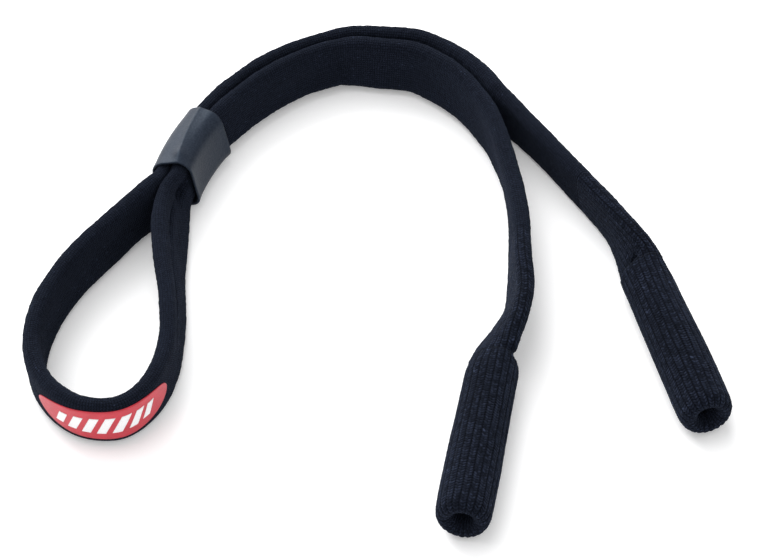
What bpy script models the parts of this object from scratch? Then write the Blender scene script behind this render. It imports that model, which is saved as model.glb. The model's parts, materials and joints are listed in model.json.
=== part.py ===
"""Eyeglass retainer strap: a knitted tubular strap, doubled through a rubber slider so that it
ends in a teardrop loop, with two free arms that each end in a rib-knit sleeve for a temple tip.

The strap stands on its edge on the plane z = 0. The loop lies towards -X, the sleeves' mouths
point towards -Y. Lengths are in millimetres here, and are turned into metres as they are used.
"""

import math

import bmesh
import bpy
from mathutils import Matrix, Vector, geometry

MM = 0.001
GAP = 0.3                       # clearance between neighbouring pieces
REST = 0.05                     # what keeps the faceted strap off the ground plane
PAIR_GAP = 0.4                  # between the two strands of the doubled strap

# The strap: a flattened knitted tube.
STRAP_WIDTH = 15.4
STRAP_THICKNESS = 4.4
SQUEEZE = 0.885                 # the strap's size inside the slider, as a part of its free size
STRAP_STEP = 3.0                # spacing of the sections along a strap piece
EDGE_STEPS = 5                  # steps round each of the strap's two round edges

# The slider, and the arc that it travels along over the doubled strap.
SLIDER_LENGTH = 22.4
SLIDER_WALL = 1.1
SLIDER_CORNER = 3.4
SLIDER_RIM = 0.4
SLIDER_FLARE = 0.4
SLIDER_CORNER_STEPS = 4
SLIDER_SECTIONS = 9
SLIDER_ANGLE = 159.0            # where the slider's middle rests on the arc, from +X
TRAVEL_CENTRE = Vector((13.8, 16.4))
TRAVEL_RADIUS = 70.3
TRAVEL_END_ANGLE = 113.0        # where the doubled strap leaves the arc
TRAVEL_LEAN = 8.0               # how far the doubled strap and the slider lean outwards
TRAVEL_STEP_ANGLE = 4.0

# The sleeves.
SLEEVE_RADIUS = 7.2
SLEEVE_WALL = 1.5
SLEEVE_SIDES = 24
SHOULDER = 6.0                  # the stretch over which the flat neck becomes round
SHOULDER_STEPS = 5
SLEEVE_RIM = 0.8
BORE_DEPTH = 46.0
SEAM_LENGTH = 0.9
SEAM_RAISE = 0.3
CUFF_LENGTH = 16.0
CUFF_WALL = 1.7
HEM_THREAD = 0.45               # radius of the stitching that holds the turned-in cuff
HEM_SIDES = 6
NECK_END = 1.5                  # the strap's last stretch, in line with its sleeve

# The printed label on the loop's outer face.
LABEL_PLACE = 0.515             # its middle, as a part of the loop's length
LABEL_LENGTH = 34.0
LABEL_THICKNESS = 0.5
LABEL_HEIGHT = 9.4
LOOP_SIZE = 1.05                # the strap's size where the label is
PRINT_LENGTH = 20.0
PRINT_THICKNESS = 0.3
PRINT_HEIGHT = 2.6

# Finishes: base colour and roughness.
KNIT = ((0.014, 0.017, 0.025), 0.95)
KNIT_LINING = ((0.010, 0.012, 0.018), 0.95)
THREAD = ((0.020, 0.023, 0.032), 0.8)
RUBBER = ((0.045, 0.052, 0.066), 0.45)
LABEL_FILM = ((0.62, 0.035, 0.06), 0.4)
PRINT_INK = ((0.85, 0.85, 0.85), 0.4)

# Routes of the strap's middle line. Each point is x, y, lean (degrees, positive when the top
# edge leans to the left of the way the route runs), size (a part of the free strap's section)
# and lift (how far the lower edge is off the ground).
ARCH_END = [
    (-7.3, 81.8, 7, 1.02, 0.4),
    (0.7, 81.5, 6, 1.04, 0.3),
    (11.7, 79.1, 5, 1.05, 0.3),
    (20.5, 73.8, 4, 1.05, 0.2),
    (27.3, 66.8, 3, 1.04, 0.2),
    (30.7, 61.1, 2, 1.03, 0.15),
]
LEFT_ARM = [
    (31.9, 52.8, 2, 1.03, 0),
    (34.3, 44.8, -1, 1.03, 0),
    (36.3, 35.3, -4, 1.03, 0),
    (37.8, 24.3, -4, 1.03, 0),
    (38.3, 11.3, 1, 1.03, 0),
    (38.1, -1.7, 6, 1.03, 0),
    (37.4, -11.7, 12, 1.06, 0),
    (34.8, -19.2, 24, 1.08, 0),
    (31.8, -26.7, 36, 1.04, 0),
    (30.1, -32.3, 42, 1.00, 0),
]
RIGHT_ARM = [
    (37.9, 56.9, -5, 1.03, 0),
    (44.0, 48.3, -9, 1.03, 0),
    (50.9, 38.1, -9, 1.03, 0),
    (58.3, 26.4, -7, 1.03, 0),
    (63.8, 17.5, -4, 1.03, 0),
    (66.9, 10.6, 6, 1.03, 0),
    (69.2, 4.3, 18, 1.05, 0),
    (70.7, -0.1, 28, 1.05, 0.1),
]
LOOP = [
    (-60.3, 25.8, -12, 0.94, 0.7),
    (-66.3, 17.8, -10, 1.00, 0),
    (-74.8, 6.8, -8, 1.05, 0),
    (-82.8, -5.7, -6, 1.05, 0),
    (-88.1, -18.7, -4, 1.05, 0),
    (-89.3, -33.2, -5, 1.05, 0),
    (-84.5, -45.5, -6, 1.05, 0),
    (-76.3, -52.5, -6, 1.05, 0),
    (-65.8, -52.9, -4, 1.05, 0),
    (-57.7, -44.3, 0, 1.05, 0),
    (-54.7, -30.7, 6, 1.03, 0),
    (-54.4, -14.7, 12, 1.03, 0),
    (-55.4, 1.3, 18, 1.03, 0),
    (-56.6, 14.3, 24, 1.00, 0),
    (-55.9, 23.8, 20, 0.95, 0.6),
]

# Each sleeve's axis on the ground, from its neck to its mouth.
LEFT_SLEEVE = ((30.8, -33.8), (21.3, -85.9))
RIGHT_SLEEVE = ((70.9, -1.5), (85.6, -51.3))

# Lengths along the routes, from the slider's middle, at which the strap changes from one piece
# to the next, and the middles of the flexing pieces, where the joints' axes are.
INNER_CUTS = {"arm_root": 110.0, "arm": 134.0, "neck": 176.0, "tail": 190.0}
OUTER_CUTS = {"arm_root": 118.0, "arm": 142.0, "neck": 168.0, "tail": 180.0}


# ---------------------------------------------------------------- scene

def clear_scene():
    """Remove everything that the scene starts with."""
    for item in list(bpy.data.objects):
        bpy.data.objects.remove(item, do_unlink=True)


def new_collection(name):
    collection = bpy.data.collections.new(name)
    bpy.context.scene.collection.children.link(collection)
    return collection


def new_hinge(name, collection, x, y):
    """An empty on a joint's upright axis, for the pieces that turn about it."""
    hinge = bpy.data.objects.new(name, None)
    hinge.location = (x * MM, y * MM, 0)
    hinge.empty_display_size = 10 * MM
    collection.objects.link(hinge)
    return hinge


def place(obj, collection, look, hinge=None):
    """Link an object, give it a material of its own, and hang it on its joint's empty."""
    colour, roughness = look
    material = bpy.data.materials.new(obj.name)
    material.use_nodes = True
    shader = material.node_tree.nodes["Principled BSDF"]
    shader.inputs["Base Color"].default_value = (*colour, 1.0)
    shader.inputs["Roughness"].default_value = roughness
    obj.data.materials.append(material)
    collection.objects.link(obj)
    if hinge:
        obj.data.transform(Matrix.Translation(-hinge.location))
        obj.parent = hinge
    return obj


# ---------------------------------------------------------------- routes

class Section:
    """One cross-section of the strap: its middle, its frame, and its size."""

    def __init__(self, middle, heading, lean, size):
        self.middle = middle
        self.heading = heading
        self.lean = lean
        self.size = size
        left = Vector((-heading.y, heading.x, 0))
        up = Vector((0, 0, 1))
        tilt = math.radians(lean)
        self.across = left * math.cos(tilt) - up * math.sin(tilt)
        self.up = up * math.cos(tilt) + left * math.sin(tilt)


def on_arc(angle):
    """A point on the slider's travel arc."""
    turn = math.radians(angle)
    return TRAVEL_CENTRE + TRAVEL_RADIUS * Vector((math.cos(turn), math.sin(turn)))


def slider_height():
    """The height of the slider's middle when its lower side rests on the ground."""
    half_bore = STRAP_WIDTH * SQUEEZE / 2 + GAP
    straight = half_bore + SLIDER_WALL - SLIDER_CORNER
    side = slider_bore()[0] / 2 + SLIDER_WALL - SLIDER_CORNER
    tilt = math.radians(TRAVEL_LEAN)
    return straight * math.cos(tilt) + side * math.sin(tilt) + SLIDER_CORNER + 0.05


def slider_bore():
    """The thickness and height of the slider's opening, round both strands."""
    thickness = 2 * STRAP_THICKNESS * SQUEEZE + PAIR_GAP + 2 * GAP
    return thickness, STRAP_WIDTH * SQUEEZE + 2 * GAP


def strap_height(lean, size):
    """The height of a section's middle above its lowest point."""
    round_part = STRAP_THICKNESS * size / 2
    straight = STRAP_WIDTH * size / 2 - round_part
    return straight * math.cos(math.radians(lean)) + round_part


def travel_points():
    """The doubled strap's route under the slider's travel, as route points."""
    lift = slider_height() - strap_height(TRAVEL_LEAN, SQUEEZE) - REST
    count = round((SLIDER_ANGLE - TRAVEL_END_ANGLE) / TRAVEL_STEP_ANGLE)
    points = []
    for step in range(count + 1):
        angle = SLIDER_ANGLE + (TRAVEL_END_ANGLE - SLIDER_ANGLE) * step / count
        points.append((*on_arc(angle), TRAVEL_LEAN, SQUEEZE, lift))
    return points


def smooth(route):
    """Sections along a smooth curve through a route's points."""
    places = [Vector((x, y, lift)) for x, y, _, _, lift in route]
    shapes = [Vector((lean, size)) for _, _, lean, size, _ in route]
    places = [2 * places[0] - places[1], *places, 2 * places[-1] - places[-2]]
    samples = []
    for i in range(1, len(places) - 2):
        before, start, end, after = places[i - 1:i + 3]
        length = (end - start).length
        leave = (end - before) * length / (3 * (length + (start - before).length))
        arrive = (after - start) * length / (3 * (length + (after - end).length))
        count = max(1, round(length / STRAP_STEP))
        curve = geometry.interpolate_bezier(start, start + leave, end - arrive, end, count + 1)
        for step, point in enumerate(curve[:-1]):
            samples.append((point, shapes[i - 1].lerp(shapes[i], step / count)))
    samples.append((places[-2], shapes[-1]))
    sections = []
    for i, (point, (lean, size)) in enumerate(samples):
        heading = samples[min(i + 1, len(samples) - 1)][0] - samples[max(i - 1, 0)][0]
        heading = Vector((heading.x, heading.y, 0)).normalized()
        height = point.z + strap_height(lean, size) + REST
        middle = Vector((point.x, point.y, height))
        sections.append(Section(middle, heading, lean, size))
    return sections


def beside(sections, side):
    """Sections moved across the strap: side is +1 or -1 for the two strands of the pair."""
    moved = []
    for section in sections:
        shift = side * (STRAP_THICKNESS * section.size + PAIR_GAP) / 2
        middle = section.middle + section.across * shift
        moved.append(Section(middle, section.heading, section.lean, section.size))
    return moved


def as_route(sections):
    """Sections turned back into route points."""
    route = []
    for section in sections:
        x, y, height = section.middle
        lift = height - strap_height(section.lean, section.size) - REST
        route.append((x, y, section.lean, section.size, lift))
    return route


def between(sections, start, end):
    """The stretch of a route between two lengths along it, with a section at each end."""
    kept = []
    reached = 0.0
    for here, following in zip(sections, sections[1:]):
        span = (following.middle - here.middle).length
        cuts = [mark for mark in (start, end) if reached < mark < reached + span]
        if start <= reached <= end:
            kept.append(here)
        for mark in cuts:
            part = (mark - reached) / span
            kept.append(Section(
                here.middle.lerp(following.middle, part),
                here.heading.lerp(following.heading, part).normalized(),
                here.lean + (following.lean - here.lean) * part,
                here.size + (following.size - here.size) * part,
            ))
        reached += span
    if end >= reached:
        kept.append(sections[-1])
    return kept


def route_length(sections):
    pairs = zip(sections, sections[1:])
    return sum((after.middle - before.middle).length for before, after in pairs)


# ---------------------------------------------------------------- shapes

def strap_profile(name, thickness, width, collection):
    """A closed outline with round ends, for the sections of a strap or a film."""
    curve = bpy.data.curves.new(name, "CURVE")
    curve.dimensions = "2D"
    spline = curve.splines.new("POLY")
    radius = thickness / 2
    straight = width / 2 - radius
    points = []
    for middle, start in ((straight, math.pi), (-straight, 0.0)):
        for step in range(EDGE_STEPS + 1):
            turn = start - math.pi * step / EDGE_STEPS
            points.append((radius * math.cos(turn), middle + radius * math.sin(turn)))
    spline.points.add(len(points) - 1)
    for point, (x, y) in zip(spline.points, points):
        point.co = (x * MM, y * MM, 0, 1)
    spline.use_cyclic_u = True
    profile = bpy.data.objects.new(name, curve)
    profile.hide_render = True
    profile.display_type = "WIRE"
    collection.objects.link(profile)
    return profile


def swept(name, sections, profile, offset=0.0):
    """A profile swept along a stretch of the strap, moved across it by offset."""
    curve = bpy.data.curves.new(name, "CURVE")
    curve.dimensions = "3D"
    curve.twist_mode = "Z_UP"
    curve.bevel_mode = "OBJECT"
    curve.bevel_object = profile
    curve.use_fill_caps = True
    spline = curve.splines.new("POLY")
    spline.points.add(len(sections) - 1)
    for point, section in zip(spline.points, sections):
        middle = section.middle + section.across * offset
        point.co = (*(middle * MM), 1)
        point.radius = section.size
        point.tilt = -math.radians(section.lean)
    return bpy.data.objects.new(name, curve)


def lofted(name, rings, closed=False):
    """A solid through rings of equally many points: capped, or closed end to start."""
    mesh = bpy.data.meshes.new(name)
    builder = bmesh.new()
    loops = [[builder.verts.new(point * MM) for point in ring] for ring in rings]
    pairs = list(zip(loops, loops[1:]))
    if closed:
        pairs.append((loops[-1], loops[0]))
    else:
        builder.faces.new(loops[0])
        builder.faces.new(loops[-1])
    for near, far in pairs:
        for i in range(len(near)):
            after = (i + 1) % len(near)
            builder.faces.new((near[i], near[after], far[after], far[i]))
    bmesh.ops.recalc_face_normals(builder, faces=builder.faces)
    builder.to_mesh(mesh)
    builder.free()
    mesh.shade_smooth()
    mesh.set_sharp_from_angle(angle=math.radians(40))
    return bpy.data.objects.new(name, mesh)


def ellipse(middle, up, across, half_height, half_width):
    """A ring of points round a sleeve or its seam."""
    ring = []
    for step in range(SLEEVE_SIDES):
        turn = 2 * math.pi * step / SLEEVE_SIDES
        ring.append(
            middle + up * half_height * math.cos(turn) + across * half_width * math.sin(turn)
        )
    return ring


def rounded_box(middle, up, across, width, height, corner):
    """A ring of points round a rectangle with round corners."""
    ring = []
    for quarter, (side, top) in enumerate(((1, 1), (-1, 1), (-1, -1), (1, -1))):
        for step in range(SLIDER_CORNER_STEPS + 1):
            turn = math.radians(90 * (quarter + step / SLIDER_CORNER_STEPS))
            out = side * (width / 2 - corner) + corner * math.cos(turn)
            high = top * (height / 2 - corner) + corner * math.sin(turn)
            ring.append(middle + across * out + up * high)
    return ring


# ---------------------------------------------------------------- parts

def make_slider(parts):
    """The rubber keeper: a short tube of rounded rectangular section, bent along its arc."""
    hinge = new_hinge("slider_travel_axis", parts, *TRAVEL_CENTRE)
    bore_width, bore_height = slider_bore()
    outer, inner = [], []
    half_angle = math.degrees(SLIDER_LENGTH / 2 / TRAVEL_RADIUS)
    for step in range(SLIDER_SECTIONS):
        part = 2 * step / (SLIDER_SECTIONS - 1) - 1
        angle = SLIDER_ANGLE - half_angle * part
        turn = math.radians(angle)
        heading = Vector((math.sin(turn), -math.cos(turn), 0))
        spot = on_arc(angle)
        frame = Section(Vector((*spot, slider_height())), heading, TRAVEL_LEAN, SQUEEZE)
        inset = SLIDER_RIM if abs(part) == 1 else 0.0
        outer.append(rounded_box(
            frame.middle, frame.up, frame.across,
            bore_width + 2 * (SLIDER_WALL - inset), bore_height + 2 * (SLIDER_WALL - inset),
            SLIDER_CORNER - inset,
        ))
        flare = SLIDER_FLARE if abs(part) == 1 else 0.0
        inner.append(rounded_box(
            frame.middle, frame.up, frame.across,
            bore_width + 2 * flare, bore_height + 2 * flare, SLIDER_CORNER - SLIDER_WALL,
        ))
    place(lofted("slider", outer + inner[::-1], closed=True), parts, RUBBER, hinge)


def make_loop(parts, profile):
    """The teardrop of strap behind the slider, from one strand's end to the other's."""
    lift = travel_points()[0][-1]
    half_angle = math.degrees(SLIDER_LENGTH / 2 / TRAVEL_RADIUS)
    pair = []
    for part in (1.15, 1.0, 0.5, 0.0):
        spot = on_arc(SLIDER_ANGLE + half_angle * part)
        pair.append((*spot, TRAVEL_LEAN, SQUEEZE, lift))
    pair = smooth(pair)
    outer = [(x, y, -lean, size, height) for x, y, lean, size, height in as_route(beside(pair, 1))]
    sections = smooth(outer[::-1] + LOOP + as_route(beside(pair, -1)))
    stretch = between(sections, GAP / 2, route_length(sections) - GAP / 2)
    place(swept("strap_loop", stretch, profile), parts, KNIT)
    return sections


def make_label(parts, guides, loop):
    """The printed film on the loop's front, and the raised print on it."""
    middle = route_length(loop) * LABEL_PLACE
    film_profile = strap_profile("label_profile", LABEL_THICKNESS, LABEL_HEIGHT, guides)
    print_profile = strap_profile("print_profile", PRINT_THICKNESS, PRINT_HEIGHT, guides)
    face = -(STRAP_THICKNESS * LOOP_SIZE / 2 + GAP)
    film_middle = face - LABEL_THICKNESS / 2
    print_middle = face - LABEL_THICKNESS - GAP - PRINT_THICKNESS / 2
    stretch = between(loop, middle - LABEL_LENGTH / 2, middle + LABEL_LENGTH / 2)
    place(swept("label", stretch, film_profile, film_middle), parts, LABEL_FILM)
    stretch = between(loop, middle - PRINT_LENGTH / 2, middle + PRINT_LENGTH / 2)
    place(swept("label_print", stretch, print_profile, print_middle), parts, PRINT_INK)


def make_sleeve(parts, side, neck, ends, hinge):
    """A temple sleeve: its ribbed shell, the seam to the strap, the turned-in cuff, its hem."""
    start, tip = (Vector((x, y, SLEEVE_RADIUS)) for x, y in ends)
    round_frame = Section(start, (tip - start).normalized(), 0.0, 1.0)
    axis, across, up = round_frame.heading, round_frame.across, round_frame.up
    length = (tip - start).length
    shift = neck.middle - start
    shift -= axis * shift.dot(axis)
    half_height = STRAP_WIDTH * neck.size / 2
    half_width = STRAP_THICKNESS * neck.size / 2
    face = SEAM_LENGTH + 2 * GAP
    bore = SLEEVE_RADIUS - SLEEVE_WALL

    def shell_ring(station, radius):
        """The shell's section at a distance past its neck face, round once past the shoulder."""
        swell = math.sqrt(1 - (1 - min(1.0, station / SHOULDER)) ** 2)
        middle = start + axis * (face + station) + shift * (1 - swell)
        return ellipse(
            middle, neck.up, neck.across,
            half_height + (radius - half_height) * swell,
            half_width + (radius - half_width) * swell,
        )

    rings = [
        shell_ring(SHOULDER * (step / SHOULDER_STEPS) ** 2, SLEEVE_RADIUS)
        for step in range(SHOULDER_STEPS + 1)
    ]
    end = length - face
    rings.append(shell_ring(end - SLEEVE_RIM, SLEEVE_RADIUS))
    rings.append(shell_ring(end, SLEEVE_RADIUS - SLEEVE_RIM / 2))
    rings.append(shell_ring(end, bore))
    rings.append(shell_ring(end - BORE_DEPTH, bore))
    place(lofted(f"{side}_sleeve", rings), parts, KNIT, hinge)

    seam = []
    for part, raised in ((0, 0), (0.3, 1), (0.7, 1), (1, 0)):
        middle = start + shift + axis * (GAP + SEAM_LENGTH * part)
        rise = SEAM_RAISE * raised
        seam.append(ellipse(
            middle, neck.up, neck.across, half_height + rise, half_width + rise
        ))
    place(lofted(f"{side}_neck_seam", seam), parts, THREAD, hinge)

    outer = bore - GAP
    inner = outer - CUFF_WALL
    cuff = [
        ellipse(tip - axis * back, up, across, radius, radius)
        for back, radius in ((0, outer), (CUFF_LENGTH, outer), (CUFF_LENGTH, inner), (0, inner))
    ]
    place(lofted(f"{side}_cuff", cuff, closed=True), parts, KNIT_LINING, hinge)

    hem = []
    for step in range(HEM_SIDES):
        turn = 2 * math.pi * step / HEM_SIDES
        middle = tip - axis * (CUFF_LENGTH + GAP + HEM_THREAD * (1 + math.sin(turn)))
        radius = (outer + inner) / 2 + HEM_THREAD * math.cos(turn)
        hem.append(ellipse(middle, up, across, radius, radius))
    place(lofted(f"{side}_cuff_hem", hem, closed=True), parts, THREAD, hinge)


def flex_hinge(parts, name, sections, start, end):
    """An empty on the upright axis through the middle of a flexing stretch."""
    middle = between(sections, start, (start + end) / 2)[-1].middle
    return new_hinge(name, parts, middle.x, middle.y)


def make_arm(parts, profile, side, sections, cuts, ends):
    """One strand of the doubled strap, its arm, the two stretches that flex, and its sleeve."""
    arm = flex_hinge(parts, f"{side}_arm_axis", sections, cuts["arm_root"], cuts["arm"])
    sleeve = flex_hinge(parts, f"{side}_sleeve_axis", sections, cuts["neck"], cuts["tail"])
    start, tip = (Vector((x, y, 0)) for x, y in ends)
    heading = (tip - start).normalized()
    last = sections[-1]
    end = Section(last.middle + heading * NECK_END, heading, last.lean, last.size)
    stretches = (
        ("strand", None, 0.0, cuts["arm_root"]),
        ("arm_root", arm, cuts["arm_root"], cuts["arm"]),
        ("arm", arm, cuts["arm"], cuts["neck"]),
        ("neck", sleeve, cuts["neck"], cuts["tail"]),
    )
    for name, hinge, begin, finish in stretches:
        stretch = between(sections, begin + GAP / 2, finish - GAP / 2)
        place(swept(f"{side}_{name}", stretch, profile), parts, KNIT, hinge)
    tail = between(sections, cuts["tail"] + GAP / 2, route_length(sections)) + [end]
    place(swept(f"{side}_tail", tail, profile), parts, KNIT, sleeve)
    make_sleeve(parts, side, end, ends, sleeve)


def strand(pair, side, arm):
    """One strand of the doubled strap, carried on smoothly along its arm's route."""
    return smooth(as_route(beside(pair, side)) + arm)


def main():
    clear_scene()
    parts = new_collection("eyeglass_retainer_strap")
    guides = new_collection("guides")
    profile = strap_profile("strap_profile", STRAP_THICKNESS, STRAP_WIDTH, guides)
    pair = smooth(travel_points() + ARCH_END)
    make_slider(parts)
    loop = make_loop(parts, profile)
    make_label(parts, guides, loop)
    make_arm(parts, profile, "left", strand(pair, -1, LEFT_ARM), INNER_CUTS, LEFT_SLEEVE)
    make_arm(parts, profile, "right", strand(pair, 1, RIGHT_ARM), OUTER_CUTS, RIGHT_SLEEVE)


main()
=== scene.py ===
"""The looks of the eyeglass retainer strap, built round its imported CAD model.

The strap, its sleeves, the slider and the label are lofted as fine meshes with the relief of the
knitting, along routes that stay close to those of the CAD solids. Lengths are in millimetres
until a mesh is made, which is in metres.
"""

import json
import math

import bpy
import numpy as np
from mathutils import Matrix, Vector


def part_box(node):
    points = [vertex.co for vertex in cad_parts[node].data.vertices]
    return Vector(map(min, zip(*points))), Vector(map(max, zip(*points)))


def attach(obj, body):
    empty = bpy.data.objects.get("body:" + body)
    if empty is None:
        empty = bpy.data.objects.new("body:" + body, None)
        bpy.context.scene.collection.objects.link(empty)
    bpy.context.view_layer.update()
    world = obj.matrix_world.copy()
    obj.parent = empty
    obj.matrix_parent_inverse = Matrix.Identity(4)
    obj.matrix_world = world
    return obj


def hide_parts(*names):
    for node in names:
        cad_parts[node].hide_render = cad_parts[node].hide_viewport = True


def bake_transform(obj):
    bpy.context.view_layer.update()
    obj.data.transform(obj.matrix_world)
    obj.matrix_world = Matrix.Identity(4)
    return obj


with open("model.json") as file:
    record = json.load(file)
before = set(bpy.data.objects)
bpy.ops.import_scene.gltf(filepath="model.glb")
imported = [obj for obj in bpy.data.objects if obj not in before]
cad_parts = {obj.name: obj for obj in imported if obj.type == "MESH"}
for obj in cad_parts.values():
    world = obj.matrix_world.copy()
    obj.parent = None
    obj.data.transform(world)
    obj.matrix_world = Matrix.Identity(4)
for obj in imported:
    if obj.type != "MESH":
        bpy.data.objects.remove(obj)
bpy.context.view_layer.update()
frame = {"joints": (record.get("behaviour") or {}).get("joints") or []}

MM = 0.001
UP = np.array([0.0, 0.0, 1.0])

# The gap under fabric that lies flat on the ground.
REST = 0.02

# The camera looks down at the strap. It aims at a point of the ground near the frame's origin.
CAMERA_AIM = (0.7, 3.3, 0.0)
CAMERA_DISTANCE = 883.2
CAMERA_ELEVATION = 48.0
CAMERA_LENS = 154.8

# The lights: name, kind, strength, size (degrees for the sun, metres for a panel) and place.
LIGHTS = (
    ("overhead", "SUN", 1.25, 50.0, (-0.35, 0.35, 1.0)),
    ("back", "AREA", 14.5, 0.9, (-0.45, 0.9, 0.6)),
    ("front", "AREA", 2.0, 1.2, (0.15, -1.0, 0.55)),
)
STUDIO_LIGHT = 0.72
FLOOR_COLOUR = (0.93, 0.93, 0.935)
FLOOR_GLOW = 0.18

# The strap's section, as in the CAD. The sizes along a route are parts of it.
STRAP_WIDTH = 15.4
STRAP_THICKNESS = 4.4

# The doubled strap: the gap between its strands in the slider and how much more it is away from
# there, their size in the slider and along its travel, how much lower they lie along the travel,
# and their lean.
PAIR_GAP = 0.3
PARTING = 0.85
SQUEEZE = 0.89
RELAXED = 0.935
SAG = 0.45
TRAVEL_LEAN = 13.0

# The slider's travel is an arc: its radius, the angles where the slider rests and where the arc
# ends, and how far outwards the strap wanders from it, at some angles.
TRAVEL_RADIUS = 70.3
SLIDER_ANGLE = 159.0
TRAVEL_END_ANGLE = 113.0
TRAVEL_WANDER = ((113, 120, 128, 136, 145, 152, 159), (-0.8, -0.3, -0.2, -0.3, -0.4, -0.3, 0.0))
TRAVEL_POINTS = 13

# The slider's length and wall. Then its outside at the arch's end, and how much that changes up
# to the loop's end. The corners' radii are the outer top's, inner top's, inner bottom's and outer
# bottom's, and the tilt is in degrees.
SLIDER_LENGTH = 22.4
SLIDER_WALL = 0.5
SLIDER_WIDTH = 11.6
SLIDER_WIDTH_CHANGE = -0.2
SLIDER_HEIGHT = 16.1
SLIDER_HEIGHT_CHANGE = 0.4
SLIDER_CORNERS = (3.8, 4.0, 2.6, 2.6)
SLIDER_CORNER_CHANGE = (-0.3, 0.0, 0.0, 0.0)
SLIDER_TILT = 14.0
SLIDER_TILT_CHANGE = -4.0

# Heights of the slider's swollen rims, and of the ridge, mound and hollow on its top.
SLIDER_RIM = 0.16
SLIDER_RIDGE = 0.5
SLIDER_MOUND = 0.85
SLIDER_HOLLOW = 0.10

# The rows along one face of the slider's wall, and the points of each row.
SLIDER_ROWS = 70
SLIDER_COLUMNS = 160

# The steps along the coarse routes, and between the rows of the strap's mesh.
ROUTE_STEP = 3.0
ROW_STEP = 0.38

# The knitting: wales run along the strap, courses across it. Each wale of the strap and each rib
# of the sleeves takes a few columns of the mesh.
STRAP_WALES = 52
WALE_POINTS = 3
WALE_RELIEF = 0.065
STRAP_COURSE = 0.68
SLEEVE_RIBS = 22
RIB_POINTS = 9
SLEEVE_COURSE = 0.84

# Unevenness of the knitting: its height, its length along the strap and its cells round it.
SMALL_UNEVENNESS = (0.085, 0.9, 44)
SLOW_UNEVENNESS = (0.17, 7.5, 6)

# Colours of the knitting: painted shade between the stitches, and the colour on top of them.
KNIT_GAP_SHADE = (0.0009, 0.0012, 0.0021)
KNIT_TOP = (0.0066, 0.0087, 0.0154)
RIB_GAP_SHADE = (0.0008, 0.0011, 0.0020)
RIB_TOP = (0.0067, 0.0087, 0.0153)

# The sleeves: places are along the axis, from the neck (SLEEVE_START) or back from the mouth. A
# sleeve is a little slimmer than its radius near the neck, over SLIM_LENGTH.
SLEEVE_RADIUS = 7.15
SLEEVE_START = 6.0
SLEEVE_BORE = 5.6
CUFF_LENGTH = 16.0
BORE_DEPTH = 46.0
MOUTH_LENGTH = 8.0
SLIM_LENGTH = 30.0

# The steps between the rows of the neck, the sleeve's outside and its mouth, and the bore's rows.
NECK_STEP = 0.3
SLEEVE_STEP = 0.21
MOUTH_STEP = 0.2
BORE_ROWS = 50

# The neck swells into the sleeve at a round shoulder on one side, with a crease just before it,
# and slowly on the other side, from a little before the neck's end.
SHOULDER_LENGTH = 3.8
SLOPE_START = -9.0
CREASE_DEPTH = 1.3

# How far the cuff's hem is from the start of the mouth's bend, along the skin.
HEM_REACH = 26.0

# Depths of the ribs at the neck and what the sleeve adds, and of the mouth's puckers.
NECK_RIB_DEPTH = 0.10
SLEEVE_RIB_DEPTH = 0.20
PUCKER_DEPTH = 0.55

# The sewing thread: its radius, its sides, and its zigzag's reach and points.
THREAD_RADIUS = 0.13
THREAD_SIDES = 8
ZIGZAG_REACH = 0.38
ZIGZAG_POINTS = 5

# Routes of the strap's middle line, close to the CAD's. Each point is x, y, lean (degrees,
# positive when the top edge leans to the left of the way the route runs), size and lift.
ARCH_END = [
    (-6.6, 81.5, 10, 1.03, 0.4),
    (0.9, 80.7, 9, 1.06, 0.3),
    (11.6, 78.8, 8, 1.08, 0.3),
    (20.0, 73.2, 7, 1.09, 0.2),
    (26.6, 66.4, 4, 1.09, 0.2),
    (30.3, 60.9, 2, 1.07, 0.15),
]
LEFT_ARM = [
    (31.3, 52.7, 0, 1.08, 0),
    (33.9, 44.8, -4, 1.08, 0),
    (36.2, 35.3, -7, 1.07, 0),
    (37.8, 24.3, -3, 1.07, 0),
    (38.3, 11.3, 4, 1.08, 0),
    (38.0, -1.7, 8, 1.10, 0),
    (37.5, -11.7, 15, 1.10, 0),
    (35.1, -19.2, 25, 1.14, 0),
    (31.6, -26.7, 36, 1.13, 0),
    (29.5, -31.8, 42, 1.08, 0),
]
RIGHT_ARM = [
    (37.9, 56.9, -5, 1.03, 0),
    (44.0, 48.3, -9, 1.03, 0),
    (50.9, 38.1, -9, 1.03, 0),
    (58.3, 26.4, -7, 1.03, 0),
    (63.8, 17.5, -4, 1.03, 0),
    (66.9, 10.6, 6, 1.03, 0),
    (69.2, 4.3, 18, 1.05, 0),
    (70.7, -0.1, 28, 1.05, 0.1),
]
LOOP = [
    (-60.3, 25.8, -12, 1.00, 0.4),
    (-67.0, 18.2, -9, 0.99, 0),
    (-75.2, 7.3, -10, 1.02, 0),
    (-83.2, -5.2, -8, 1.02, 0),
    (-88.4, -18.7, -6, 1.03, 0),
    (-89.5, -33.0, -4, 1.04, 0),
    (-84.6, -44.6, -6, 1.05, 0),
    (-76.3, -51.3, -6, 1.05, 0),
    (-66.0, -51.6, -4, 1.03, 0),
    (-58.4, -43.7, 0, 1.03, 0),
    (-54.5, -30.7, 6, 1.00, 0),
    (-54.3, -14.7, 12, 1.01, 0),
    (-55.9, 1.3, 19, 1.05, 0),
    (-56.2, 14.3, 25, 1.04, 0),
    (-55.5, 23.8, 21, 1.01, 0.4),
]

# Soft hollows in the strap: the place along the piece (back from its end if negative), the part
# of the way round from the middle of the lower edge, the span, the width and the depth.
LOOP_DENTS = (
    (-14.6, 0.71, 3.6, 0.045, 2.6),
    (-28.0, 0.665, 10.0, 0.022, 0.9),
    (-50.0, 0.67, 15.0, 0.020, 0.7),
    (36.0, 0.27, 10.0, 0.05, 0.30),
)

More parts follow.
